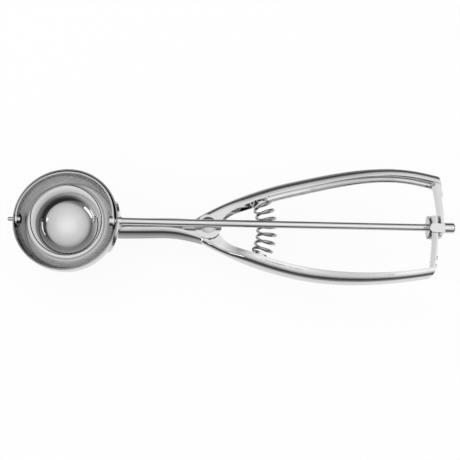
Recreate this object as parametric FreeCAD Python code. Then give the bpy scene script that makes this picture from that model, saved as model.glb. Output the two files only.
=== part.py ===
import FreeCAD, Part
import math
import os

# Ice cream scoop with a squeeze handle and a rack-driven scraper.
# The model is built about the axis of the drive rod, which lies along X.
# It is then lowered, so that the rim of the bowl lies in the frame's XY plane
# with the centre of the bowl's mouth at the origin. The handles point to +X.

V = FreeCAD.Vector
X_AXIS = V(1, 0, 0)
Z_AXIS = V(0, 0, 1)

# Length by which a cutting body runs past the face that it cuts, and the smallest length told apart
OVERRUN = 1.0
TINY = 0.001

# Bowl
BOWL_BORE = 50.0
BOWL_WALL = 0.8
RIM_RISE = 3.0
RIM_ROUNDING = 0.15

# Saddle that joins the bowl to the neck
SADDLE_WALL = 1.0
SADDLE_RADIUS = 13.2
SADDLE_DROP = 10.6
SADDLE_TOP = 1.8

# Scraper blade inside the bowl, with its hubs and front pin
BLADE_GAP = 0.3
BLADE_THICKNESS = 0.8
BLADE_WIDTH = 11.0
BLADE_END_RADIUS = 4.0
BLADE_REST_ANGLE = 83.0
REAR_HUB_DIAMETER = 5.2
REAR_HUB_LENGTH = 2.2
FRONT_HUB_DIAMETER = 3.8
FRONT_HUB_LENGTH = 1.5
FRONT_PIN_DIAMETER = 2.1
FRONT_PIN_REACH = 3.1

# Drive rod, its two bearings and its end nut
ROD_DIAMETER = 3.6
RUNNING_GAP = 0.05
BUSH_WALL = 0.5
BOWL_BUSH_REACH = 0.8
REAR_BUSH_REACH = 0.6
END_GAP = 0.3
END_NUT_DIAMETER = 5.2
END_NUT_LENGTH = 6.2
END_NUT_TIP = 1.0

# Pivot of the lower handle, with its rivet standing along Z
PIVOT_X = 70.3
PIVOT_DIAMETER = 4.0
PLATE = 0.9
PLATE_GAP = 0.05
EAR_TOP = -4.4
EAR_STACK = 8.0
EAR_RADIUS = 5.5
TOP_EAR_RADIUS = 6.8
EAR_STEP = 0.03
RIVET_HEAD_DIAMETER = 8.4
RIVET_HEAD_HEIGHT = 1.1
RIVET_TAIL_DIAMETER = 7.1
WASHER_DIAMETER = 8.0
WASHER_THICKNESS = 0.6

# Neck, an arched channel that flares into the plate over the pivot
NECK_HALF_WIDTH = 4.6
NECK_TOP = -6.4
NECK_BOTTOM = -16.0
NECK_ARCH_RADIUS = 4.3
WAIST_SETBACK = 24.3
NECK_STATIONS = 10
FLARE_SETBACK = 3.3
FLARE_NEAR_WIDTH = 7.8
FLARE_FAR_WIDTH = 3.2
FLARE_CORNER_RADIUS = 1.6
NECK_PLATE_RADIUS = 5.7
TONGUE_SETBACK = 12.8
TONGUE_NEAR_WIDTH = 1.2
TONGUE_FAR_WIDTH = 2.4
TONGUE_RIVET_Y = 0.4
TONGUE_RIVET_INSET = 3.5
TONGUE_RIVET_DIAMETER = 2.4
TONGUE_RIVET_HEAD = 0.6

# Handles: a rounded channel that opens towards the rod.
# The back of each follows one curve, set by four poles measured from the pivot.
# The last pole lies past the rack, which is an arc about the pivot. The lead is the
# number of sections by which the curve is carried on past its first pole.
RACK_RADIUS = 110.05
BACK_OVERHANG = 9.35
BACK_END = RACK_RADIUS + BACK_OVERHANG
UPPER_LEAD = 1
LOWER_LEAD = 0
UPPER_BACK = [(-3.3, 6.0), (23.7, 22.4), (71.1, 38.0), (BACK_END, 22.7)]
LOWER_BACK = [(-3.3, 8.4), (23.7, 23.2), (71.1, 37.0), (BACK_END, 23.1)]
CHANNEL_DEPTH = 5.4
TAIL_DEPTH = 3.7
CHANNEL_CORNER = 3.0
GRIP_ROUNDING = 1.8
WEB_DEPTH = 3.0
WEB_START = 1.0
WEB_END = 9.0
GRIP_HEIGHT = 13.0
TAIL_HEIGHT = 12.0
SWELL_START = 7.0
SWELL_END = 22.0
RISE_START = 42.0
RISE_SETBACK = 6.55
TAIL_MID = 3.3
END_CORNER = 4.0
HANDLE_STATIONS = 18

# Rack and pinion. The rack lies over the pinion.
GEAR_MODULE = 0.575
PINION_TEETH = 18
PINION_WIDTH = 4.0
PINION_LEAD = 1.4
PRESSURE_ANGLE = math.radians(20)
TOOTH_THINNING = 0.14
DEDENDUM_FACTOR = 1.25
FLANK_STEPS = 4
RACK_TEETH_AHEAD = 1.5
RACK_THICKNESS = 1.5
RACK_TOP = 8.2
RACK_TIP_Y = 3.8
RACK_TEETH = 13
RACK_FOOT_Y = -22.6
FASTENER_DIAMETER = 1.2
FASTENER_HEAD_DIAMETER = 2.0
FASTENER_HEAD = 0.5
FASTENER_SPACING = 4.0
FASTENER_INSET = 1.8

# Rear bracket, an arc plate that carries the rear end of the rod
BRACKET_PLAY = 0.4
BRACKET_THICKNESS = 1.6
BRACKET_BOTTOM = 1.0
BRACKET_EYE_RADIUS = 5.6
BRACKET_FOOT_Y = 22.6
BRACKET_WING_Y = 14.0
TAB_Y_MIN = -4.7
TAB_Y_MAX = -0.45
TAB_THICKNESS = 0.8
TAB_REACH = 7.2
PINION_WASHER_DIAMETER = 7.0
PINION_WASHER_THICKNESS = 0.3

# Return spring, bent along an arc between two seats inside the handles
SPRING_DIAMETER = 10.6
SPRING_WIRE = 1.0
SPRING_TURNS = 7.5
SPRING_END_GAP = 0.1
SPRING_SETBACK = 25.7
SPRING_HALF_SPAN = 15.0
SPRING_BEND_RADIUS = 32.0
SEAT_DIAMETER = 10.4
SEAT_THICKNESS = 1.0
SEAT_SPIGOT_DIAMETER = 7.4
SEAT_SPIGOT_LENGTH = 2.2
SEAT_STEM_DIAMETER = 4.0

# Sizes that follow from those above
NECK_WAIST_X = PIVOT_X - WAIST_SETBACK
FLARE_END_X = PIVOT_X - FLARE_SETBACK
TONGUE_X = PIVOT_X - TONGUE_SETBACK
TONGUE_RIVET_X = TONGUE_X + TONGUE_RIVET_INSET
SPRING_X = PIVOT_X + SPRING_SETBACK
RISE_END = RACK_RADIUS - RISE_SETBACK
BOWL_RADIUS = BOWL_BORE / 2
BOWL_OUTSIDE = BOWL_RADIUS + BOWL_WALL
SADDLE_OUTSIDE = BOWL_OUTSIDE + SADDLE_WALL
BLADE_OUTSIDE = BOWL_RADIUS - BLADE_GAP
BLADE_INSIDE = BLADE_OUTSIDE - BLADE_THICKNESS
ROD_RADIUS = ROD_DIAMETER / 2
BUSH_BORE = ROD_RADIUS + RUNNING_GAP
BUSH_RADIUS = BUSH_BORE + BUSH_WALL
PIN_RADIUS = FRONT_PIN_DIAMETER / 2
PIVOT_RADIUS = PIVOT_DIAMETER / 2
EAR_BOTTOM = EAR_TOP - EAR_STACK
EAR_MID = EAR_TOP - EAR_STACK / 2
NESTED_TOP = EAR_TOP - PLATE - PLATE_GAP
NESTED_BOTTOM = EAR_BOTTOM + PLATE + PLATE_GAP
PITCH_RADIUS = GEAR_MODULE * PINION_TEETH / 2
TIP_RADIUS = PITCH_RADIUS + GEAR_MODULE
ROOT_RADIUS = PITCH_RADIUS - DEDENDUM_FACTOR * GEAR_MODULE
TOOTH_WIDTH = math.pi * GEAR_MODULE / 2 - TOOTH_THINNING
RACK_ROOT = PITCH_RADIUS + DEDENDUM_FACTOR * GEAR_MODULE
RACK_TIP = PITCH_RADIUS - GEAR_MODULE
RACK_INSIDE = RACK_RADIUS - RACK_THICKNESS / 2
RACK_OUTSIDE = RACK_RADIUS + RACK_THICKNESS / 2
PINION_X0 = PIVOT_X + RACK_INSIDE - PINION_LEAD / 2
PINION_X1 = PINION_X0 + PINION_WIDTH
BRACKET_INSIDE = PINION_X1 + PINION_WASHER_THICKNESS + BRACKET_PLAY - PIVOT_X
BRACKET_OUTSIDE = BRACKET_INSIDE + BRACKET_THICKNESS
UPPER_END = BRACKET_OUTSIDE + PLATE
LOWER_END = RACK_OUTSIDE + PLATE
END_WALL_Y = BRACKET_FOOT_Y + PLATE
BRACKET_X0 = PIVOT_X + BRACKET_INSIDE
BRACKET_X1 = PIVOT_X + BRACKET_OUTSIDE
REAR_BUSH_END = BRACKET_X1 + REAR_BUSH_REACH
END_NUT_X0 = REAR_BUSH_END + END_GAP


def box(x0, x1, y0, y1, z0, z1):
    return Part.makeBox(x1 - x0, y1 - y0, z1 - z0, V(x0, y0, z0))


def rod_x(radius, x0, x1, y=0.0, z=0.0):
    return Part.makeCylinder(radius, x1 - x0, V(x0, y, z), X_AXIS)


def disc_z(radius, z0, z1, x=PIVOT_X, y=0.0):
    return Part.makeCylinder(radius, z1 - z0, V(x, y, z0), Z_AXIS)


def ring_x(inner, outer, x0, x1):
    return rod_x(outer, x0, x1).cut(rod_x(inner, x0 - OVERRUN, x1 + OVERRUN))


def ball(radius):
    return Part.makeSphere(radius)


def prism_z(points, z0, z1):
    corners = [V(x, y, z0) for x, y in points]
    face = Part.Face(Part.makePolygon(corners + [corners[0]]))
    return face.extrude(V(0, 0, z1 - z0))


def sector(inner, outer, y0, y1, z0, z1):
    """Part of a ring about the pivot, between two angles set by y at its mean radius."""
    mean = (inner + outer) / 2
    start = math.degrees(math.asin(y0 / mean))
    sweep = math.degrees(math.asin(y1 / mean)) - start
    profile = Part.makePolygon([V(PIVOT_X + inner, 0, z0), V(PIVOT_X + outer, 0, z0),
                                V(PIVOT_X + outer, 0, z1), V(PIVOT_X + inner, 0, z1),
                                V(PIVOT_X + inner, 0, z0)])
    face = Part.Face(profile)
    face.rotate(V(PIVOT_X, 0, 0), Z_AXIS, start)
    return face.revolve(V(PIVOT_X, 0, 0), Z_AXIS, sweep)


def mirrored(shape):
    """The same shape on the other side of the rod."""
    return shape.mirror(V(0, 0, 0), V(0, 1, 0))


def save(name, shape):
    """Lower the piece into the bowl's frame and write it."""
    placed = shape.copy()
    placed.translate(V(0, 0, -RIM_RISE))
    if not placed.isValid():
        print("not valid:", name)
    placed.exportStep("parts/" + name + ".step")
    print("%-20s solids %d  volume %9.2f" % (name, len(placed.Solids), placed.Volume))


def blend(value, start, end):
    """Smooth step from 0 to 1 between start and end."""
    share = min(1.0, max(0.0, (value - start) / (end - start)))
    return share * share * (3 - 2 * share)


# Bowl and what is welded to it

def make_bowl():
    outside = ball(BOWL_OUTSIDE).fuse(disc_z(BOWL_OUTSIDE, 0, RIM_RISE, 0))
    lower = box(-2 * BOWL_RADIUS, 2 * BOWL_RADIUS, -2 * BOWL_RADIUS, 2 * BOWL_RADIUS,
                -2 * BOWL_RADIUS, RIM_RISE)
    outside = outside.common(lower)
    inside = ball(BOWL_RADIUS).fuse(disc_z(BOWL_RADIUS, 0, 2 * RIM_RISE, 0))
    bowl = outside.cut(inside)
    rim_edges = []
    for edge in bowl.Edges:
        if abs(edge.BoundBox.ZMin - RIM_RISE) < TINY:
            rim_edges.append(edge)
    bowl = bowl.makeFillet(RIM_ROUNDING, rim_edges)
    bowl = bowl.cut(rod_x(BUSH_RADIUS, 0, 2 * BOWL_RADIUS))
    return bowl.cut(rod_x(PIN_RADIUS + RUNNING_GAP, -2 * BOWL_RADIUS, 0))


def make_saddle():
    shell = ball(SADDLE_OUTSIDE).cut(ball(BOWL_OUTSIDE))
    patch = rod_x(SADDLE_RADIUS, 0, 2 * BOWL_RADIUS, 0, -SADDLE_DROP)
    below = box(0, 2 * BOWL_RADIUS, -BOWL_RADIUS, BOWL_RADIUS, -2 * BOWL_RADIUS, SADDLE_TOP)
    upright = disc_z(BOWL_OUTSIDE, 0, SADDLE_TOP, 0)
    saddle = shell.common(patch).common(below).cut(upright)
    return saddle.cut(rod_x(BUSH_RADIUS, 0, 2 * BOWL_RADIUS))


def make_bowl_bush():
    return ring_x(BUSH_BORE, BUSH_RADIUS, BOWL_RADIUS, SADDLE_OUTSIDE + BOWL_BUSH_REACH)


# Scraper that turns with the rod

def make_blade():
    shell = ball(BLADE_OUTSIDE).cut(ball(BLADE_INSIDE))
    band = box(-BOWL_RADIUS, BOWL_RADIUS, -BLADE_WIDTH / 2, BLADE_WIDTH / 2, -BOWL_RADIUS, 0)
    ends = rod_x(BLADE_END_RADIUS, -BOWL_RADIUS, BOWL_RADIUS)
    blade = shell.common(band.fuse(ends))
    blade = blade.cut(rod_x(ROD_RADIUS, 0, BOWL_RADIUS))
    blade = blade.cut(rod_x(PIN_RADIUS, -BOWL_RADIUS, 0))
    blade.rotate(V(0, 0, 0), X_AXIS, BLADE_REST_ANGLE)
    return blade


def make_rear_hub():
    hub = rod_x(REAR_HUB_DIAMETER / 2, BLADE_INSIDE - REAR_HUB_LENGTH, BLADE_INSIDE)
    return hub.common(ball(BLADE_INSIDE)).cut(rod_x(ROD_RADIUS, 0, BOWL_RADIUS))


def make_front_hub():
    hub = rod_x(FRONT_HUB_DIAMETER / 2, -BLADE_INSIDE, FRONT_HUB_LENGTH - BLADE_INSIDE)
    return hub.common(ball(BLADE_INSIDE)).cut(rod_x(PIN_RADIUS, -BOWL_RADIUS, 0))


def make_front_pin():
    pin = rod_x(PIN_RADIUS, -BOWL_OUTSIDE - FRONT_PIN_REACH, FRONT_HUB_LENGTH - BLADE_INSIDE)
    tip = []
    for edge in pin.Edges:
        if abs(edge.BoundBox.XMax - pin.BoundBox.XMin) < TINY:
            tip.append(edge)
    return pin.makeFillet(PIN_RADIUS / 2, tip)


def make_drive_rod():
    return rod_x(ROD_RADIUS, BLADE_INSIDE - REAR_HUB_LENGTH, END_NUT_X0 + END_NUT_LENGTH / 2)


def make_end_nut():
    nut = rod_x(END_NUT_DIAMETER / 2, END_NUT_X0, END_NUT_X0 + END_NUT_LENGTH)
    tip = []
    for edge in nut.Edges:
        if abs(edge.BoundBox.XMin - nut.BoundBox.XMax) < TINY:
            tip.append(edge)
    nut = nut.makeFillet(END_NUT_TIP, tip)
    return nut.cut(rod_x(ROD_RADIUS, END_NUT_X0 - OVERRUN, END_NUT_X0 + END_NUT_LENGTH / 2))


# Neck, from the saddle to the plate over the pivot

def arch_section(x, near_width, far_width, top, bottom, radius):
    """Closed section of the neck across X: flat or arched top, straight sides."""
    bend = radius * (1 - math.sqrt(0.5))
    near = -near_width
    far = far_width
    points = [V(x, near, bottom), V(x, near, top - radius), V(x, near + bend, top - bend),
              V(x, near + radius, top), V(x, far - radius, top), V(x, far - bend, top - bend),
              V(x, far, top - radius), V(x, far, bottom)]
    return Part.Wire([Part.LineSegment(points[0], points[1]).toShape(),
                      Part.Arc(points[1], points[2], points[3]).toShape(),
                      Part.LineSegment(points[3], points[4]).toShape(),
                      Part.Arc(points[4], points[5], points[6]).toShape(),
                      Part.LineSegment(points[6], points[7]).toShape(),
                      Part.LineSegment(points[7], points[0]).toShape()])


def neck_loft(inset, extra):
    """The neck's outside, or its hollow when inset is the wall and extra runs below it."""
    flare_bottom = EAR_BOTTOM - WASHER_THICKNESS
    start = BOWL_RADIUS / 2
    sections = []
    for index in range(NECK_STATIONS + 1):
        x = start + (FLARE_END_X + PLATE - start) * index / NECK_STATIONS
        flare = max(0.0, (x - NECK_WAIST_X) / (FLARE_END_X - NECK_WAIST_X)) ** 2
        climb = blend(x, BOWL_OUTSIDE, TONGUE_X - PLATE)
        near_width = NECK_HALF_WIDTH + (FLARE_NEAR_WIDTH - NECK_HALF_WIDTH) * flare - inset
        far_width = NECK_HALF_WIDTH + (FLARE_FAR_WIDTH - NECK_HALF_WIDTH) * flare - inset
        radius = NECK_ARCH_RADIUS + (FLARE_CORNER_RADIUS - NECK_ARCH_RADIUS) * min(1.0, flare)
        top = NECK_TOP + (EAR_TOP - NECK_TOP) * climb
        bottom = NECK_BOTTOM + (flare_bottom - NECK_BOTTOM) * climb
        sections.append(arch_section(x, near_width, far_width, top - inset, bottom - extra,
                                     radius - inset))
    return Part.makeLoft(sections, True, False)


def make_neck():
    neck = neck_loft(0, 0).cut(neck_loft(PLATE, OVERRUN))
    ahead = box(FLARE_END_X, 2 * PIVOT_X, -BOWL_RADIUS, BOWL_RADIUS, -BOWL_RADIUS, BOWL_RADIUS)
    over = box(TONGUE_X - PLATE, 2 * PIVOT_X, -BOWL_RADIUS, BOWL_RADIUS, EAR_TOP, 0)
    nested_ear = disc_z(EAR_RADIUS + END_GAP, -BOWL_RADIUS, EAR_TOP - PLATE)
    neck = neck.cut(ahead).cut(ball(SADDLE_OUTSIDE)).cut(over).cut(nested_ear)
    bottom = EAR_TOP - PLATE
    flat = prism_z([(FLARE_END_X - PLATE, FLARE_CORNER_RADIUS - FLARE_NEAR_WIDTH),
                    (PIVOT_X, -NECK_PLATE_RADIUS),
                    (PIVOT_X, NECK_PLATE_RADIUS / 2),
                    (FLARE_END_X - PLATE, FLARE_FAR_WIDTH - FLARE_CORNER_RADIUS)],
                   bottom, EAR_TOP)
    neck = neck.fuse(flat).fuse(disc_z(NECK_PLATE_RADIUS, bottom, EAR_TOP))
    neck = neck.cut(disc_z(PIVOT_RADIUS, bottom, EAR_TOP))
    tail_seat = disc_z(TONGUE_RIVET_DIAMETER / 2 + PLATE / 2, bottom - PLATE, bottom,
                       TONGUE_RIVET_X, TONGUE_RIVET_Y)
    hole = disc_z(TONGUE_RIVET_DIAMETER / 2, bottom, EAR_TOP, TONGUE_RIVET_X, TONGUE_RIVET_Y)
    return neck.cut(tail_seat).cut(hole)


def neck_room():
    """The neck with its hollow filled, grown by the gap between plates, below its flat top."""
    over = box(0, 2 * PIVOT_X, -BOWL_RADIUS, BOWL_RADIUS, EAR_TOP, 0)
    ahead = box(FLARE_END_X + PLATE_GAP, 2 * PIVOT_X, -BOWL_RADIUS, BOWL_RADIUS,
                -BOWL_RADIUS, BOWL_RADIUS)
    return neck_loft(-PLATE_GAP, OVERRUN).cut(over).cut(ahead)


# Handles

def back_point(back, share):
    """Point and unit tangent of the handle's back, seen from above."""
    poles = [V(PIVOT_X + x, y, 0) for x, y in back]
    rest = 1 - share
    point = (poles[0] * rest ** 3 + poles[1] * (3 * rest ** 2 * share)
             + poles[2] * (3 * rest * share ** 2) + poles[3] * share ** 3)
    tangent = ((poles[1] - poles[0]) * rest ** 2 + (poles[2] - poles[1]) * (2 * rest * share)
               + (poles[3] - poles[2]) * share ** 2)
    return point, tangent.normalize()


def channel_size(x, top, bottom):
    """Bottom, top, depth and corner radius of the channel at x, from ears to raised tail."""
    reach = x - PIVOT_X
    swell = blend(reach, SWELL_START, SWELL_END)
    rise = blend(reach, RISE_START, RISE_END)
    half_grip = (GRIP_HEIGHT + (TAIL_HEIGHT - GRIP_HEIGHT) * rise) / 2
    middle = EAR_MID + (TAIL_MID - EAR_MID) * rise
    low = bottom + (middle - half_grip - bottom) * swell
    high = top + (middle + half_grip - top) * swell
    web = WEB_DEPTH * (1 - blend(abs(reach), WEB_START, WEB_END))
    depth = CHANNEL_DEPTH + (TAIL_DEPTH - CHANNEL_DEPTH) * rise + web
    corner = CHANNEL_CORNER + GRIP_ROUNDING * swell * (1 - rise)
    return low, high, depth, corner


def channel_loft(back, lead, top, bottom, inset, mouth):
    """Closed body of the channel, or its hollow when inset is the wall."""
    sections = []
    for index in range(-lead, HANDLE_STATIONS + 1):
        point, tangent = back_point(back, index / HANDLE_STATIONS)
        outward = V(-tangent.y, tangent.x, 0)
        low, high, full_depth, corner = channel_size(point.x, top, bottom)
        low += inset
        high -= inset
        radius = corner - inset
        bend = radius * (1 - math.sqrt(0.5))

        def place(depth, z):
            return point - outward * depth + V(0, 0, z)

        corners = [place(full_depth + mouth, low), place(inset + radius, low),
                   place(inset + bend, low + bend), place(inset, low + radius),
                   place(inset, high - radius), place(inset + bend, high - bend),
                   place(inset + radius, high), place(full_depth + mouth, high)]
        sections.append(Part.Wire([
            Part.LineSegment(corners[0], corners[1]).toShape(),
            Part.Arc(corners[1], corners[2], corners[3]).toShape(),
            Part.LineSegment(corners[3], corners[4]).toShape(),
            Part.Arc(corners[4], corners[5], corners[6]).toShape(),
            Part.LineSegment(corners[6], corners[7]).toShape(),
            Part.LineSegment(corners[7], corners[0]).toShape()]))
    return Part.makeLoft(sections, True, False)


def end_trim(back, end_radius, inset):
    """Room inside a rounded end: an arc about the pivot with a round corner at the back."""
    point, tangent = back_point(back, 1.0)
    outward = V(-tangent.y, tangent.x, 0)
    line_point = point - outward * inset
    far = tangent * (2 * end_radius)
    corners = [line_point - far, line_point + far, line_point + far - outward * (2 * end_radius),
               line_point - far - outward * (2 * end_radius)]
    block = prism_z([(c.x, c.y) for c in corners], -2 * GRIP_HEIGHT, 2 * GRIP_HEIGHT)
    room = block.common(disc_z(end_radius - inset, -2 * GRIP_HEIGHT, 2 * GRIP_HEIGHT))
    corner_edges = []
    for edge in room.Edges:
        box_of_edge = edge.BoundBox
        if box_of_edge.ZLength > GRIP_HEIGHT and box_of_edge.XMin > PIVOT_X + end_radius / 2:
            if box_of_edge.YMin > 0 and box_of_edge.XLength < TINY:
                corner_edges.append(edge)
    return room.makeFillet(END_CORNER - inset, corner_edges)


def make_channel(back, lead, top, bottom, end_radius):
    """Channel on the +Y side, closed at its rounded end, and the room inside it."""
    outside = channel_loft(back, lead, top, bottom, 0, 0)
    outside = outside.common(end_trim(back, end_radius, 0))
    inside = channel_loft(back, lead, top, bottom, PLATE, OVERRUN)
    inside = inside.common(end_trim(back, end_radius, PLATE))
    ear_end = PIVOT_X + SWELL_START
    start = PIVOT_X - GRIP_HEIGHT
    above = box(start, ear_end, -BOWL_RADIUS, BOWL_RADIUS, top, GRIP_HEIGHT)
    below = box(start, ear_end, -BOWL_RADIUS, BOWL_RADIUS, -2 * GRIP_HEIGHT, bottom)
    return outside.cut(inside).cut(above).cut(below), inside


def make_ears(back, top, bottom, near_radius):
    """Two flat ears about the pivot, widened to meet the channel's flanges.

    The top one is wider across the rod, where it has the near radius."""
    start, tangent = back_point(back, 0.0)
    outward = V(-tangent.y, tangent.x, 0)
    reach = tangent * (SWELL_START + PLATE)
    mouth = outward * CHANNEL_DEPTH
    corner = outward * CHANNEL_CORNER
    outline = [start - corner, start - corner + reach, start - mouth + reach, start - mouth]
    ears = []
    for z0, z1, radius in ((top - PLATE + EAR_STEP, top - EAR_STEP, near_radius),
                           (bottom + EAR_STEP, bottom + PLATE - EAR_STEP, EAR_RADIUS)):
        ears.append(disc_z(EAR_RADIUS, z0, z1))
        near_side = box(0, 2 * PIVOT_X, -BOWL_RADIUS, 0, z0, z1)
        ears.append(disc_z(radius, z0, z1).common(near_side))
        ears.append(prism_z([(p.x, p.y) for p in outline], z0, z1))
    return ears


def open_pivot(handle, top, bottom, hole_radius):
    """Bore the ears and clear the room between them."""
    bore = disc_z(hole_radius, bottom - OVERRUN, top + OVERRUN)
    room = disc_z(EAR_RADIUS + END_GAP, bottom + PLATE, top - PLATE)
    return handle.cut(bore).cut(room)


def make_upper_handle():
    """The fixed handle. Its top ear lies on the neck's plate, with a tongue riveted to the neck."""
    top = EAR_TOP + PLATE
    channel, room = make_channel(UPPER_BACK, UPPER_LEAD, top, EAR_BOTTOM, UPPER_END)
    ears = make_ears(UPPER_BACK, top, EAR_BOTTOM, TOP_EAR_RADIUS)
    tongue = box(TONGUE_X, PIVOT_X - PIVOT_RADIUS - PLATE, -TONGUE_NEAR_WIDTH, TONGUE_FAR_WIDTH,
                 EAR_TOP + EAR_STEP, top - EAR_STEP)
    hole = disc_z(TONGUE_RIVET_DIAMETER / 2, EAR_TOP, top, TONGUE_RIVET_X, TONGUE_RIVET_Y)
    wing = sector(BRACKET_OUTSIDE, UPPER_END, BRACKET_WING_Y, END_WALL_Y, BRACKET_BOTTOM,
                  RACK_TOP)
    wing = wing.common(end_trim(UPPER_BACK, UPPER_END, 0))
    handle = channel.cut(neck_room()).fuse(ears).fuse(tongue).fuse(wing).cut(hole)
    handle = open_pivot(handle, top, EAR_BOTTOM, PIVOT_RADIUS)
    for rivet in bracket_rivet_rods(FASTENER_DIAMETER / 2, BRACKET_INSIDE, UPPER_END):
        handle = handle.cut(rivet)
    return handle, room


def make_lower_handle():
    channel, room = make_channel(LOWER_BACK, LOWER_LEAD, NESTED_TOP, NESTED_BOTTOM, LOWER_END)
    ears = make_ears(LOWER_BACK, NESTED_TOP, NESTED_BOTTOM, EAR_RADIUS)
    backing = sector(RACK_OUTSIDE, LOWER_END, -RACK_TIP_Y, END_WALL_Y, RACK_ROOT, RACK_TOP)
    backing = backing.common(end_trim(LOWER_BACK, LOWER_END, 0))
    handle = mirrored(channel.fuse(ears).fuse(backing))
    handle = open_pivot(handle, NESTED_TOP, NESTED_BOTTOM, PIVOT_RADIUS + RUNNING_GAP)
    for rivet in rack_rivet_rods(FASTENER_DIAMETER / 2, RACK_INSIDE, LOWER_END):
        handle = handle.cut(rivet)
    return handle, mirrored(room)


# Pivot rivet, washer and the rivet of the tongue

def make_pivot_rivet():
    seat = EAR_TOP + PLATE
    shank = disc_z(PIVOT_RADIUS, EAR_BOTTOM - WASHER_THICKNESS, seat)
    heads = []
    for z, diameter in ((seat, RIVET_HEAD_DIAMETER), (EAR_BOTTOM - WASHER_THICKNESS, RIVET_TAIL_DIAMETER)):
        radius = diameter / 2
        crown = (radius ** 2 + RIVET_HEAD_HEIGHT ** 2) / (2 * RIVET_HEAD_HEIGHT)
        direction = math.copysign(1, z - EAR_MID)
        dome = Part.makeSphere(crown, V(PIVOT_X, 0, z + direction * (RIVET_HEAD_HEIGHT - crown)))
        tip = z + direction * RIVET_HEAD_HEIGHT
        heads.append(dome.common(disc_z(radius, min(z, tip), max(z, tip))))
    return shank.fuse(heads)


def make_pivot_washer():
    ring = disc_z(WASHER_DIAMETER / 2, EAR_BOTTOM - WASHER_THICKNESS, EAR_BOTTOM)
    return ring.cut(disc_z(PIVOT_RADIUS, EAR_BOTTOM - WASHER_THICKNESS, EAR_BOTTOM))


def make_neck_rivet():
    radius = TONGUE_RIVET_DIAMETER / 2
    top = EAR_TOP + PLATE
    bottom = EAR_TOP - PLATE
    shank = disc_z(radius, bottom, top, TONGUE_RIVET_X, TONGUE_RIVET_Y)
    head = disc_z(radius + PLATE / 2, top, top + TONGUE_RIVET_HEAD, TONGUE_RIVET_X, TONGUE_RIVET_Y)
    tail = disc_z(radius + PLATE / 2, bottom - TONGUE_RIVET_HEAD, bottom, TONGUE_RIVET_X,
                  TONGUE_RIVET_Y)
    return shank.fuse([head, tail])


# Rack and pinion

def make_pinion():
    """Spur gear about X with involute flanks. One tooth points up at rest."""
    base_radius = PITCH_RADIUS * math.cos(PRESSURE_ANGLE)
    half_at_pitch = TOOTH_WIDTH / 2 / PITCH_RADIUS
    involute_at_pitch = math.tan(PRESSURE_ANGLE) - PRESSURE_ANGLE
    radii = []
    for index in range(FLANK_STEPS + 1):
        radii.append(base_radius + (TIP_RADIUS - base_radius) * index / FLANK_STEPS)
    flank = []
    for radius in radii:
        roll = math.acos(base_radius / radius)
        turn = half_at_pitch + involute_at_pitch - (math.tan(roll) - roll)
        flank.append((radius, turn))
    flank.insert(0, (ROOT_RADIUS, flank[0][1]))
    points = []
    for tooth in range(PINION_TEETH):
        centre = math.pi / 2 + 2 * math.pi * tooth / PINION_TEETH
        for radius, turn in flank:
            points.append((radius, centre - turn))
        for radius, turn in reversed(flank):
            points.append((radius, centre + turn))
    corners = [V(PINION_X0, r * math.cos(a), r * math.sin(a)) for r, a in points]
    face = Part.Face(Part.makePolygon(corners + [corners[0]]))
    gear = face.extrude(V(PINION_WIDTH, 0, 0))
    return gear.cut(rod_x(ROD_RADIUS, PINION_X0 - OVERRUN, PINION_X1 + OVERRUN))


def make_rack():
    """Arc rack with its teeth down. A gap between two teeth lies over the rod at rest."""
    rack = sector(RACK_INSIDE, RACK_OUTSIDE, RACK_FOOT_Y, RACK_TIP_Y, RACK_ROOT, RACK_TOP)
    rack = rack.common(mirrored(end_trim(LOWER_BACK, LOWER_END, PLATE)))
    slope = math.tan(PRESSURE_ANGLE)
    half_tip = TOOTH_WIDTH / 2 - (PITCH_RADIUS - RACK_TIP) * slope
    half_root = TOOTH_WIDTH / 2 + (RACK_ROOT - PITCH_RADIUS) * slope
    step = math.degrees(math.pi * GEAR_MODULE / RACK_RADIUS)
    sunk = RACK_ROOT + PLATE / 2
    x0 = PIVOT_X + RACK_INSIDE
    teeth = []
    for index in range(RACK_TEETH):
        corners = [V(x0, -half_tip, RACK_TIP), V(x0, half_tip, RACK_TIP),
                   V(x0, half_root, RACK_ROOT), V(x0, half_root, sunk),
                   V(x0, -half_root, sunk), V(x0, -half_root, RACK_ROOT)]
        face = Part.Face(Part.makePolygon(corners + [corners[0]]))
        tooth = face.extrude(V(RACK_THICKNESS, 0, 0))
        tooth.rotate(V(PIVOT_X, 0, 0), Z_AXIS, (RACK_TEETH_AHEAD - index) * step)
        teeth.append(tooth)
    rack = rack.fuse(teeth).common(disc_z(RACK_OUTSIDE, RACK_TIP - OVERRUN, RACK_TOP + OVERRUN))
    for rivet in rack_rivet_rods(FASTENER_DIAMETER / 2, RACK_INSIDE, LOWER_END):
        rack = rack.cut(rivet)
    return rack


def make_pinion_washer():
    return ring_x(ROD_RADIUS, PINION_WASHER_DIAMETER / 2, PINION_X1,
                  PINION_X1 + PINION_WASHER_THICKNESS)


def radial_rod(radius, inner, outer, y, z):
    """Short round rod that points away from the pivot, at the angle of y on the rack's arc."""
    turn = math.degrees(math.asin(y / RACK_RADIUS))
    rod = rod_x(radius, PIVOT_X + inner, PIVOT_X + outer, 0, z)
    rod.rotate(V(PIVOT_X, 0, 0), Z_AXIS, turn)
    return rod


def rack_rivet_rods(radius, inner, outer):
    """Rods for the rack's two rivets, side by side along the strip."""
    level = (RACK_TOP + RACK_ROOT) / 2
    rods = []
    for index in range(2):
        y = RACK_FOOT_Y + FASTENER_INSET + FASTENER_SPACING * index
        rods.append(radial_rod(radius, inner, outer, y, level))
    return rods


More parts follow.
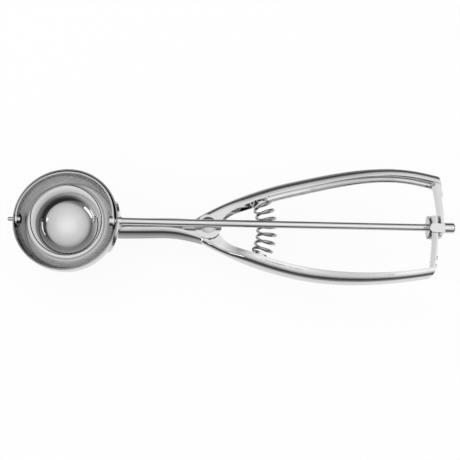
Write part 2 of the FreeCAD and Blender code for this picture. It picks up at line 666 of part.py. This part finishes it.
def bracket_rivet_rods(radius, inner, outer):
    """Rods for the bracket's two rivets, one above the other."""
    middle = (RACK_TOP + BRACKET_BOTTOM) / 2
    rods = []
    for side in (-1, 1):
        y = BRACKET_FOOT_Y - 2 * FASTENER_INSET
        rods.append(radial_rod(radius, inner, outer, y, middle + side * FASTENER_SPACING / 2))
    return rods


def make_rivets(rivet_rods, inner, outer):
    shanks = rivet_rods(FASTENER_DIAMETER / 2, inner, outer)
    heads = rivet_rods(FASTENER_HEAD_DIAMETER / 2, outer, outer + FASTENER_HEAD)
    return Part.makeCompound([shank.fuse(head) for shank, head in zip(shanks, heads)])


# Rear bracket

def make_rear_bracket():
    strip = sector(BRACKET_INSIDE, BRACKET_OUTSIDE, 0, BRACKET_FOOT_Y, BRACKET_BOTTOM, RACK_TOP)
    strip = strip.common(end_trim(UPPER_BACK, UPPER_END, PLATE))
    shell = disc_z(BRACKET_OUTSIDE, -GRIP_HEIGHT, GRIP_HEIGHT)
    shell = shell.cut(disc_z(BRACKET_INSIDE, -GRIP_HEIGHT, GRIP_HEIGHT))
    eye = rod_x(BRACKET_EYE_RADIUS, BRACKET_X0 - OVERRUN, BRACKET_X1 + OVERRUN).common(shell)
    tab_bottom = RACK_TOP + END_GAP
    tab_top = tab_bottom + TAB_THICKNESS
    riser = sector(BRACKET_INSIDE, BRACKET_OUTSIDE, TAB_Y_MIN, TAB_Y_MAX, 0, tab_top)
    length = TAB_Y_MAX - TAB_Y_MIN
    tip_x = BRACKET_X1 - TAB_REACH
    tab = box(tip_x + length / 2, BRACKET_X1 - BRACKET_THICKNESS / 2, TAB_Y_MIN, TAB_Y_MAX,
              tab_bottom, tab_top)
    tip = disc_z(length / 2, tab_bottom, tab_top, tip_x + length / 2, (TAB_Y_MIN + TAB_Y_MAX) / 2)
    bracket = strip.fuse([eye, riser, tab, tip])
    bracket = bracket.cut(rod_x(BUSH_RADIUS, BRACKET_X0 - OVERRUN, BRACKET_X1 + OVERRUN))
    for rivet in bracket_rivet_rods(FASTENER_DIAMETER / 2, BRACKET_INSIDE, BRACKET_OUTSIDE):
        bracket = bracket.cut(rivet)
    return bracket


def make_rear_bush():
    return ring_x(BUSH_BORE, BUSH_RADIUS, BRACKET_X0, REAR_BUSH_END)


# Return spring and its seats

def spring_angle():
    return math.asin(SPRING_HALF_SPAN / SPRING_BEND_RADIUS)


def spring_centre():
    return V(SPRING_X - SPRING_BEND_RADIUS * math.cos(spring_angle()), 0, EAR_MID)


def spring_point(share):
    """Centre of the wire, from the lower seat (0) to the upper seat (1)."""
    margin = (SPRING_WIRE / 2 + SPRING_END_GAP) / (SPRING_BEND_RADIUS - SPRING_DIAMETER / 2)
    end = spring_angle() - margin
    along = -end + 2 * end * share
    outward = V(math.cos(along), math.sin(along), 0)
    turn = 2 * math.pi * SPRING_TURNS * share
    radius = (SPRING_DIAMETER - SPRING_WIRE) / 2
    middle = spring_centre() + outward * SPRING_BEND_RADIUS
    return middle + outward * (radius * math.cos(turn)) + V(0, 0, -radius * math.sin(turn))


def spring_tangent(share):
    step = TINY / SPRING_HALF_SPAN
    return (spring_point(share + step) - spring_point(share - step)).normalize()


def arc_between(start, end, corner):
    """Arc from start to end whose end tangents meet at the corner."""
    middle = (start + end) * 0.5
    half = (end - start).Length / 2
    arm = (corner - start).Length
    rise = half * math.tan(math.acos(min(1.0, half / arm)) / 2)
    return Part.Arc(start, middle + (corner - middle).normalize() * rise, end).toShape()


def biarc(start, start_tangent, end, end_tangent):
    """Two arcs that leave start and reach end along the given tangents."""
    gap = end - start
    both = start_tangent + end_tangent
    spread = 2 * (1 - start_tangent.dot(end_tangent))
    along = gap.dot(both)
    arm = (math.sqrt(along ** 2 + spread * gap.dot(gap)) - along) / spread
    first = start + start_tangent * arm
    second = end - end_tangent * arm
    joint = (first + second) * 0.5
    return [arc_between(start, joint, first), arc_between(joint, end, second)]


def make_spring():
    quarters = int(round(4 * SPRING_TURNS))
    edges = []
    for index in range(quarters):
        here = index / quarters
        there = (index + 1) / quarters
        edges += biarc(spring_point(here), spring_tangent(here),
                       spring_point(there), spring_tangent(there))
    path = Part.Wire(edges)
    ring = Part.Wire(Part.Circle(spring_point(0), spring_tangent(0), SPRING_WIRE / 2).toShape())
    return path.makePipeShell([ring], True, False)


def make_seat(room):
    """Spring seat on the +Y side: disc, spigot in the coil, stem to the handle's back."""
    angle = spring_angle()
    axis = V(-math.sin(angle), math.cos(angle), 0)
    centre = V(SPRING_X, SPRING_HALF_SPAN, EAR_MID)
    disc = Part.makeCylinder(SEAT_DIAMETER / 2, SEAT_THICKNESS, centre, axis)
    spigot = Part.makeCylinder(SEAT_SPIGOT_DIAMETER / 2, SEAT_SPIGOT_LENGTH, centre, axis * -1)
    stem = Part.makeCylinder(SEAT_STEM_DIAMETER / 2, 2 * CHANNEL_DEPTH, centre, axis)
    return disc.fuse([spigot, stem.common(room)])


def main():
    os.makedirs("parts", exist_ok=True)
    save("bowl", make_bowl())
    save("bowl_saddle", make_saddle())
    save("bowl_bush", make_bowl_bush())
    save("neck", make_neck())
    save("neck_rivet", make_neck_rivet())
    save("pivot_rivet", make_pivot_rivet())
    save("pivot_washer", make_pivot_washer())
    upper_handle, upper_room = make_upper_handle()
    save("upper_handle", upper_handle)
    save("rear_bracket", make_rear_bracket())
    save("bracket_rivets", make_rivets(bracket_rivet_rods, BRACKET_INSIDE, UPPER_END))
    save("rear_bush", make_rear_bush())
    save("upper_spring_seat", make_seat(upper_room))
    save("return_spring", make_spring())
    lower_handle, lower_room = make_lower_handle()
    save("lower_handle", lower_handle)
    save("rack", make_rack())
    save("rack_rivets", make_rivets(rack_rivet_rods, RACK_INSIDE, LOWER_END))
    save("lower_spring_seat", mirrored(make_seat(mirrored(lower_room))))
    save("drive_rod", make_drive_rod())
    save("pinion", make_pinion())
    save("pinion_washer", make_pinion_washer())
    save("rod_end_nut", make_end_nut())
    save("scraper_blade", make_blade())
    save("scraper_rear_hub", make_rear_hub())
    save("scraper_front_hub", make_front_hub())
    save("scraper_front_pin", make_front_pin())
    print("scraper turns per degree of the handle %.4f" % (RACK_RADIUS / PITCH_RADIUS))


main()
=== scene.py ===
import bmesh
import bpy
import math
from mathutils import Matrix, Vector


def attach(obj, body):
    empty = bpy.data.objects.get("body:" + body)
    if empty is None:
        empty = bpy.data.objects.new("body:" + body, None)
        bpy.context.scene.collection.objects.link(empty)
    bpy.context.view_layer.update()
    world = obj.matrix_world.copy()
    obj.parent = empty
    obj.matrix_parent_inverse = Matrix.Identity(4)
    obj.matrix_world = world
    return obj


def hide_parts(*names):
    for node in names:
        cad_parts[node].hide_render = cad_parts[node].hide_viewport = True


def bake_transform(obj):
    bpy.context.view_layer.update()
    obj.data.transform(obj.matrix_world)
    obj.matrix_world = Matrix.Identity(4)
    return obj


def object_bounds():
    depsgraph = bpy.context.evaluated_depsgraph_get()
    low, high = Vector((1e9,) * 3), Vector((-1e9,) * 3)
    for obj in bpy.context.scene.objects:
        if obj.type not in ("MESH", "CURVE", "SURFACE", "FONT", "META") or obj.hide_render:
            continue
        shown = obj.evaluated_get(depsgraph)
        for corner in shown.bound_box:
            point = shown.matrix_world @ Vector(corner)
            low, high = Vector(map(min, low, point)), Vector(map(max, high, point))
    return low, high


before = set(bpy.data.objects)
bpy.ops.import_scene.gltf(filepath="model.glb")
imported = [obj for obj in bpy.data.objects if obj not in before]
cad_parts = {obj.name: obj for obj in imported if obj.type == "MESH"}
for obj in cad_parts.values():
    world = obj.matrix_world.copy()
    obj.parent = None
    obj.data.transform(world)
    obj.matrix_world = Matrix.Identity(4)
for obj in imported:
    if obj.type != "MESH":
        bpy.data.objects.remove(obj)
CAD_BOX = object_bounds()

MM = 0.001
# Level of the drive rod, which is also the middle of the bowl's ball
AXIS_Z = -3.0 * MM


# Camera of the photograph

CAMERA_DISTANCE = 400 * MM
CAMERA_TILT = math.radians(15.6)
CAMERA_ROLL = math.radians(1.2)
CAMERA_AWAY = Vector((0, -math.sin(CAMERA_TILT), math.cos(CAMERA_TILT)))
CAMERA_BODY_RADIUS = 22 * MM
TARGET = Vector((81.2 * MM, -3.35 * MM, AXIS_Z))
PIXELS_TO_A_MM = 2.024
PICTURE_PIXELS = 460
SENSOR_WIDTH = 36


def make_camera():
    up = Vector((0, math.cos(CAMERA_TILT), math.sin(CAMERA_TILT)))
    right = Vector((1, 0, 0))
    turned_right = right * math.cos(CAMERA_ROLL) + up * math.sin(CAMERA_ROLL)
    turned_up = up * math.cos(CAMERA_ROLL) - right * math.sin(CAMERA_ROLL)
    data = bpy.data.cameras.new("camera")
    data.sensor_width = SENSOR_WIDTH
    data.lens = PIXELS_TO_A_MM * CAMERA_DISTANCE / MM / PICTURE_PIXELS * SENSOR_WIDTH
    data.clip_start = 0.01
    data.clip_end = 100
    camera = bpy.data.objects.new("camera", data)
    rotation = Matrix((turned_right, turned_up, CAMERA_AWAY)).transposed()
    camera.matrix_world = Matrix.Translation(TARGET + CAMERA_AWAY * CAMERA_DISTANCE) @ rotation.to_4x4()
    bpy.context.scene.collection.objects.link(camera)
    bpy.context.scene.camera = camera


# Node helpers

class Nodes:
    """Short way to write a node tree."""

    def __init__(self, tree):
        self.tree = tree
        tree.nodes.clear()

    def add(self, kind, inputs=None, **settings):
        node = self.tree.nodes.new(kind)
        for name, value in settings.items():
            setattr(node, name, value)
        for key, value in (inputs or {}).items():
            socket = node.inputs[key]
            if isinstance(value, bpy.types.NodeSocket):
                self.tree.links.new(value, socket)
            else:
                socket.default_value = value
        return node

    def math(self, operation, a, b=0.0):
        return self.add("ShaderNodeMath", {0: a, 1: b}, operation=operation).outputs[0]

    def mix(self, share, first, second, blend="MIX"):
        return self.add("ShaderNodeMix", {0: share, 6: first, 7: second}, data_type="RGBA",
                        blend_type=blend).outputs[2]

    def dot(self, vector, axis):
        return self.add("ShaderNodeVectorMath", {0: vector, 1: axis},
                        operation="DOT_PRODUCT").outputs["Value"]

    def angle_from(self, vector, axis):
        """Angle between two unit vectors, as a share of half a turn."""
        return self.math("MULTIPLY", self.math("ARCCOSINE", self.dot(vector, axis)), 1 / math.pi)

    def ramp(self, value, stops):
        node = self.add("ShaderNodeValToRGB", {0: value})
        ramp = node.color_ramp
        while len(ramp.elements) < len(stops):
            ramp.elements.new(0.5)
        for element, (place, level) in zip(ramp.elements, stops):
            element.position = place
            element.color = (level, level, level, 1)
        return node.outputs[0]

    def angle_ramp(self, angle, stops):
        """The stops are pairs of degrees and level."""
        return self.ramp(angle, [(degrees / 180, level) for degrees, level in stops])


def leaning(lean, z):
    """Unit vector along Z that leans by these degrees along X and Y."""
    return Vector([math.tan(math.radians(degrees)) for degrees in lean] + [z]).normalized()


def new_material(name):
    material = bpy.data.materials.new(name)
    material.use_nodes = True
    return material, Nodes(material.node_tree)


# Studio: white to the camera, and to polished metal a bright top with a dark belt low round the object

# Pairs of degrees from the brightest direction and brightness there. That direction leans along X and Y.
SKY = [(0, 1.4), (14, 1.27), (30, 0.95), (46, 0.72), (56, 0.42), (64, 0.10), (88, 0.05), (100, 0.5)]
SKY_PEAK = SKY[0][1]
SKY_LEAN = (9.0, -6.0)
# Brightness of the surroundings for soft light
SURROUNDINGS = 0.95

# Metal sees the floor bright beside the object and darker farther out. Pairs of metres from the middle
# line and darkening.
FLOOR_DARKENING = [(0.055, 0.1), (0.10, 0.85)]
FLOOR_GLOW = 0.9
FLOOR_COLOUR = 0.9
FLOOR_HALF = 3.0
FLOOR_GAP = 0.1 * MM


def make_world():
    world = bpy.data.worlds.new("studio")
    world.use_nodes = True
    bpy.context.scene.world = world
    n = Nodes(world.node_tree)
    direction = n.add("ShaderNodeTexCoord").outputs["Generated"]
    angle = n.angle_from(direction, leaning(SKY_LEAN, 1))
    shares = n.angle_ramp(angle, [(degrees, level / SKY_PEAK) for degrees, level in SKY])
    sky = n.mix(1.0, shares, (SKY_PEAK, SKY_PEAK, SKY_PEAK, 1), "MULTIPLY")
    path = n.add("ShaderNodeLightPath")
    mirrored = n.math("MAXIMUM", path.outputs["Is Glossy Ray"], path.outputs["Is Transmission Ray"])
    backdrop = n.mix(path.outputs["Is Camera Ray"], sky, (1, 1, 1, 1))
    shown = n.math("MAXIMUM", path.outputs["Is Camera Ray"], mirrored)
    colour = n.mix(shown, (SURROUNDINGS, SURROUNDINGS, SURROUNDINGS, 1), backdrop)
    background = n.add("ShaderNodeBackground", {0: colour, 1: 1.0})
    n.add("ShaderNodeOutputWorld", {0: background.outputs[0]})


def make_floor():
    z = CAD_BOX[0][2] - FLOOR_GAP
    mesh = bpy.data.meshes.new("floor")
    corners = [(-1, -1), (1, -1), (1, 1), (-1, 1)]
    mesh.from_pydata([(x * FLOOR_HALF, y * FLOOR_HALF, z) for x, y in corners], [], [(0, 1, 2, 3)])
    floor = bpy.data.objects.new("floor", mesh)
    bpy.context.scene.collection.objects.link(floor)
    material, n = new_material("floor_white")
    path = n.add("ShaderNodeLightPath")
    mirrored = n.math("MAXIMUM", path.outputs["Is Glossy Ray"], path.outputs["Is Transmission Ray"])
    paint = n.add("ShaderNodeBsdfDiffuse", {0: (FLOOR_COLOUR, FLOOR_COLOUR, FLOOR_COLOUR, 1)})
    aside = n.add("ShaderNodeSeparateXYZ", {0: n.add("ShaderNodeTexCoord").outputs["Object"]}).outputs["Y"]
    darkening = n.ramp(n.math("ABSOLUTE", aside), FLOOR_DARKENING)
    strength = n.math("SUBTRACT", 1.0, n.math("MULTIPLY", mirrored, darkening))
    glow = n.add("ShaderNodeEmission", {0: (1, 1, 1, 1), 1: strength})
    share = n.math("MULTIPLY", n.math("MAXIMUM", path.outputs["Is Camera Ray"], mirrored), FLOOR_GLOW)
    shader = n.add("ShaderNodeMixShader", {0: share, 1: paint.outputs[0], 2: glow.outputs[0]})
    n.add("ShaderNodeOutputMaterial", {0: shader.outputs[0]})
    mesh.materials.append(material)


def area_light(name, place, target, size, power, shiny=False):
    data = bpy.data.lights.new(name, "AREA")
    data.shape = "RECTANGLE"
    data.size = size[0]
    data.size_y = size[1]
    data.energy = power
    light = bpy.data.objects.new(name, data)
    light.location = place
    light.rotation_euler = (Vector(target) - Vector(place)).to_track_quat("-Z", "Y").to_euler()
    light.visible_glossy = shiny
    bpy.context.scene.collection.objects.link(light)


def make_camera_body():
    """The dark front of the photographer's camera, which the polished bowl shows as a thin ring."""
    just_behind = 1.02
    centre = TARGET + CAMERA_AWAY * (CAMERA_DISTANCE * just_behind)
    mesh = bpy.data.meshes.new("camera_body")
    bm = bmesh.new()
    facing = CAMERA_AWAY.to_track_quat("Z", "Y").to_matrix().to_4x4()
    bmesh.ops.create_circle(bm, cap_ends=True, segments=48, radius=CAMERA_BODY_RADIUS,
                            matrix=Matrix.Translation(centre) @ facing)
    bm.to_mesh(mesh)
    bm.free()
    body = bpy.data.objects.new("camera_body", mesh)
    bpy.context.scene.collection.objects.link(body)
    for flag in ("visible_camera", "visible_diffuse", "visible_shadow", "visible_transmission"):
        setattr(body, flag, False)
    material, n = new_material("camera_black")
    paint = n.add("ShaderNodeBsdfDiffuse", {0: (0.02, 0.02, 0.02, 1)})
    n.add("ShaderNodeOutputMaterial", {0: paint.outputs[0]})
    mesh.materials.append(material)


# Metals

# Share by which the roughness varies over a piece
GRAIN = 0.4
# The bottom of the bowl is buffed duller, in a patch that lies off the middle by these degrees along X and Y
BUFFED_LEAN = (-11.0, 9.0)
# Round it runs a darker ring of painted reflection, which is left out on this side (angle from +X)
RING_GAP_SIDE = math.radians(25)


def tinted(colour, factor):
    return tuple(min(1, part * factor) for part in colour) + (1,)


def finish_metal(material, n, tone, rough, bump):
    shader = n.add("ShaderNodeBsdfPrincipled", {"Base Color": tone, "Metallic": 1.0, "Roughness": rough,
                                                "Normal": bump.outputs[0]})
    n.add("ShaderNodeOutputMaterial", {0: shader.outputs[0]})
    return material


def metal(name, colour, roughness, scratch=0.02, stretch=(1, 1, 1), side=1.0):
    """Polished steel: slight waves of the sheet, fine polishing lines, faint dull patches.

    Upright faces are made as dark as side says: painted shade, standing for the darker reflections that
    upright faces show."""
    material, n = new_material(name)
    place = n.add("ShaderNodeTexCoord").outputs["Object"]
    lines_place = n.add("ShaderNodeMapping", {0: place, 3: stretch}).outputs[0]
    lines = n.add("ShaderNodeTexNoise", {"Vector": lines_place, "Scale": 900.0, "Detail": 4.0,
                                         "Roughness": 0.6}).outputs[0]
    patches = n.add("ShaderNodeTexNoise", {"Vector": place, "Scale": 70.0, "Detail": 3.0}).outputs[0]
    waves = n.add("ShaderNodeTexNoise", {"Vector": place, "Scale": 45.0, "Detail": 1.0}).outputs[0]
    low = max(0.02, roughness * (1 - GRAIN))
    high = roughness * (1 + GRAIN)
    dull = n.math("ADD", n.math("MULTIPLY", patches, 0.6), n.math("MULTIPLY", lines, 0.4))
    rough = n.ramp(dull, [(0.3, low), (0.7, high)])
    tone = n.mix(patches, tinted(colour, 0.96), tinted(colour, 1.03))
    # Painted shade: the tone of upright faces is multiplied down to the side share
    normal = n.add("ShaderNodeNewGeometry").outputs["Normal"]
    painted_side_shade = n.add("ShaderNodeSeparateXYZ", {0: normal}).outputs["Z"]
    painted_side_shade = n.ramp(n.math("ABSOLUTE", painted_side_shade), [(0.45, side), (0.8, 1.0)])
    tone = n.mix(1.0, tone, painted_side_shade, "MULTIPLY")
    wave_bump = n.add("ShaderNodeBump", {"Strength": 0.06, "Distance": 0.0006, "Height": waves})
    line_bump = n.add("ShaderNodeBump", {"Strength": scratch, "Distance": 0.00002, "Height": lines,
                                         "Normal": wave_bump.outputs[0]})
    return finish_metal(material, n, tone, rough, line_bump)


def bowl_metal(name, colour):
    """Inside of the bowl: buffed bottom, mirror band, and a band of turning lines below the rim, with painted
    dark reflections in a band and in a ring round the buffed patch.
    """
    material, n = new_material(name)
    place = n.add("ShaderNodeTexCoord").outputs["Object"]
    from_centre = n.add("ShaderNodeVectorMath", {0: place, 1: (0, 0, AXIS_Z)},
                        operation="SUBTRACT").outputs[0]
    unit = n.add("ShaderNodeVectorMath", {0: from_centre}, operation="NORMALIZE").outputs[0]

    # Bands by the angle from the bottom, and by the angle from the middle of the buffed patch
    off_bottom = n.angle_from(unit, (0, 0, -1))
    off_buffed = n.angle_from(unit, leaning(BUFFED_LEAN, -1))
    upper = n.angle_ramp(off_bottom, [(61, 0.0), (63, 1.0)])
    # Painted reflection: a dark band at the lower edge of the turned band, darkest about 64 degrees from the
    # bottom
    painted_reflection_band = n.angle_ramp(off_bottom, [(62, 1.0), (64, 0.55), (69, 0.95), (90, 1.0)])
    buffed = n.angle_ramp(off_buffed, [(23, 1.0), (27, 0.0)])
    most_buffed = n.angle_ramp(off_buffed, [(15, 1.0), (23, 0.0)])
    # Painted reflection: a darker ring round the buffed patch, halving the tone, left out on one side
    painted_reflection_ring = n.angle_ramp(off_buffed, [(27, 0.0), (30, 1.0), (37, 1.0), (40, 0.0)])
    towards_ring_gap = n.dot(unit, (math.cos(RING_GAP_SIDE), math.sin(RING_GAP_SIDE), 0))
    painted_reflection_ring = n.math("MULTIPLY", painted_reflection_ring, n.ramp(towards_ring_gap, [(0.3, 1.0), (0.5, 0.0)]))
    kept = n.math("SUBTRACT", 1.0, n.math("MULTIPLY", painted_reflection_ring, 0.5))
    level = n.add("ShaderNodeSeparateXYZ", {0: place}).outputs["Z"]
    lip = n.ramp(n.math("ADD", n.math("MULTIPLY", level, 1 / (2 * MM)), 1.0), [(0.5, 0.0), (0.75, 1.0)])

    rings = n.add("ShaderNodeTexNoise", {"W": n.math("MULTIPLY", off_bottom, 900.0), "Scale": 1.0,
                                         "Detail": 3.0}, noise_dimensions="1D").outputs[0]
    soft = n.add("ShaderNodeTexNoise", {"Vector": place, "Scale": 60.0, "Detail": 3.0}).outputs[0]
    fine = n.add("ShaderNodeTexNoise", {"Vector": place, "Scale": 1500.0, "Detail": 3.0}).outputs[0]
    turned = n.ramp(rings, [(0.3, 0.06), (0.7, 0.13)])
    rough = n.add("ShaderNodeMix", {0: upper, 2: n.ramp(soft, [(0.3, 0.02), (0.7, 0.05)]), 3: turned},
                  data_type="FLOAT").outputs[0]
    for zone, added in ((buffed, 0.10), (most_buffed, 0.20), (lip, 0.15)):
        rough = n.math("ADD", rough, n.math("MULTIPLY", zone, added))

    lines = n.mix(n.ramp(rings, [(0.35, 0.0), (0.65, 1.0)]), tinted(colour, 0.62), tinted(colour, 1.3))
    tone = n.mix(upper, colour + (1,), lines)
    # The painted reflection band and ring darken the tone here
    tone = n.mix(1.0, tone, n.math("MULTIPLY", painted_reflection_band, kept), "MULTIPLY")
    tone = n.mix(lip, tone, tinted(colour, 0.55))
    ring_bump = n.add("ShaderNodeBump", {"Strength": n.math("MULTIPLY", upper, 0.12), "Distance": 0.00004,
                                         "Height": rings})
    bump = n.add("ShaderNodeBump", {"Strength": 0.02, "Distance": 0.00002, "Height": fine,
                                    "Normal": ring_bump.outputs[0]})
    return finish_metal(material, n, tone, rough, bump)


# Pieces

def add_piece(name, mesh, material, body):
    piece = bpy.data.objects.new(name, mesh)
    bpy.context.scene.collection.objects.link(piece)
    mesh.materials.append(material)
    for polygon in mesh.polygons:
        polygon.use_smooth = True
    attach(piece, body)
    return piece


def lathe_mesh(name, profile, segments):
    """Surface of revolution about the bowl's axis. The profile is a closed run of (radius, z)."""
    bm = bmesh.new()
    rings = []
    for radius, z in profile:
        if radius < 1e-7:
            rings.append([bm.verts.new((0, 0, z))] * segments)
            continue
        ring = []
        for index in range(segments):
            turn = 2 * math.pi * index / segments
            ring.append(bm.verts.new((radius * math.cos(turn), radius * math.sin(turn), z)))
        rings.append(ring)
    for here, there in zip(rings, rings[1:]):
        for index in range(segments):
            after = (index + 1) % segments
            corners = [here[index], here[after], there[after], there[index]]
            unique = []
            for corner in corners:
                if corner not in unique:
                    unique.append(corner)
            bm.faces.new(unique)
    bmesh.ops.recalc_face_normals(bm, faces=bm.faces)
    mesh = bpy.data.meshes.new(name)
    bm.to_mesh(mesh)
    bm.free()
    return mesh


def make_bowl():
    """Half ball with a short upright rim, whose lip is a full round."""
    inner = 25.0 * MM
    wall = 0.8 * MM
    outer = inner + wall
    ball_steps = 96
    lip_steps = 12
    around = 320
    profile = []
    for index in range(ball_steps + 1):
        turn = math.pi / 2 * index / ball_steps
        profile.append((outer * math.sin(turn), AXIS_Z - outer * math.cos(turn)))
    for index in range(lip_steps + 1):
        turn = math.pi * index / lip_steps
        profile.append((inner + wall / 2 + wall / 2 * math.cos(turn), -wall / 2 + wall / 2 * math.sin(turn)))
    for index in range(ball_steps + 1):
        turn = math.pi / 2 * (1 - index / ball_steps)
        profile.append((inner * math.sin(turn), AXIS_Z - inner * math.cos(turn)))
    bowl = add_piece("bowl_polished", lathe_mesh("bowl_polished", profile, around), BOWL, "frame")
    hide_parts("bowl")


def make_spring():
    """Coil that follows an arc about the pivot from one seat to the other, with closed ends."""
    turns = 7.5
    wire = 1.4 * MM
    diameter = 10.6 * MM
    bend = 32 * MM
    seat_angle = math.asin(15 / 32)
    seat_x = 96 * MM
    end_gap = 0.1 * MM
    below_rod = 8.4 * MM
    radius = (diameter - wire) / 2
    half = seat_angle - (wire / 2 + end_gap) / (bend - diameter / 2)
    middle_x = seat_x - bend * math.cos(seat_angle)
    middle_z = AXIS_Z - below_rod
    around = 14
    steps_to_a_turn = 56
    count = int(turns * steps_to_a_turn)
    rings = []
    bm = bmesh.new()

    def centre(share):
        along = -half + 2 * half * share
        outward = Vector((math.cos(along), math.sin(along), 0))
        turn = 2 * math.pi * turns * share
        return (Vector((middle_x, 0, middle_z)) + outward * (bend + radius * math.cos(turn))
                - Vector((0, 0, radius * math.sin(turn))))

    for index in range(count + 1):
        share = index / count
        here = centre(share)
        tangent = (centre(share + 1e-4) - centre(share - 1e-4)).normalized()
        side = tangent.cross(Vector((0, 0, 1))).normalized()
        upward = side.cross(tangent)
        ring = []
        for step in range(around):
            turn = 2 * math.pi * step / around
            ring.append(bm.verts.new(here + (side * math.cos(turn) + upward * math.sin(turn)) * wire / 2))
        rings.append(ring)
    for here, there in zip(rings, rings[1:]):
        for step in range(around):
            after = (step + 1) % around
            bm.faces.new((here[step], here[after], there[after], there[step]))
    bm.faces.new(rings[0])
    bm.faces.new(rings[-1])
    bmesh.ops.recalc_face_normals(bm, faces=bm.faces)
    mesh = bpy.data.meshes.new("spring_coil")
    bm.to_mesh(mesh)
    bm.free()
    mesh.materials.append(WIRE)
    for polygon in mesh.polygons:
        polygon.use_smooth = len(polygon.vertices) == 4
    spring = bpy.data.objects.new("spring_coil", mesh)
    bpy.context.scene.collection.objects.link(spring)
    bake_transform(spring)
    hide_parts("return_spring")


def dress(material, *names):
    for name in names:
        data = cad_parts[name].data
        data.materials.clear()
        data.materials.append(material)


bpy.context.scene.view_settings.view_transform = "Standard"
make_camera()
make_world()
make_floor()
make_camera_body()
area_light("key", (-0.25, 0.35, 0.9), (0.08, 0, 0), (0.45, 0.45), 1.0)
area_light("strip_right", (0.80, 0.0, 0.50), (0.0, 0, 0), (0.4, 0.05), 0.14, shiny=True)
area_light("strip_left", (-0.62, -0.40, 0.50), (0.0, 0, 0), (0.5, 0.06), 0.35, shiny=True)

# The neck's upright sides carry painted shade (side=0.38)
NECK = metal("neck_steel", (0.66, 0.66, 0.665), 0.07, stretch=(1, 8, 1), side=0.38)
SHEET = metal("polished_sheet", (0.68, 0.68, 0.685), 0.085, scratch=0.01, stretch=(1, 8, 1))
TURNED = metal("turned_steel", (0.66, 0.66, 0.665), 0.08, stretch=(6, 1, 1))
GEAR = metal("gear_steel", (0.56, 0.56, 0.565), 0.16, scratch=0.1)
RIVET = metal("rivet_steel", (0.56, 0.56, 0.565), 0.22)
WIRE = metal("spring_steel", (0.42, 0.42, 0.425), 0.14)

BOWL = bowl_metal("bowl_steel", (0.71, 0.71, 0.715))

dress(BOWL, "bowl")
dress(NECK, "neck")
dress(SHEET, "bowl_saddle", "upper_handle", "lower_handle", "rear_bracket", "scraper_blade")
dress(TURNED, "bowl_bush", "rear_bush", "upper_spring_seat", "lower_spring_seat", "drive_rod", "pinion_washer",
      "rod_end_nut", "scraper_rear_hub", "scraper_front_hub", "scraper_front_pin")
dress(GEAR, "pinion", "rack")
dress(RIVET, "pivot_rivet", "pivot_washer", "neck_rivet", "bracket_rivets", "rack_rivets")
dress(WIRE, "return_spring")
make_bowl()
make_spring()
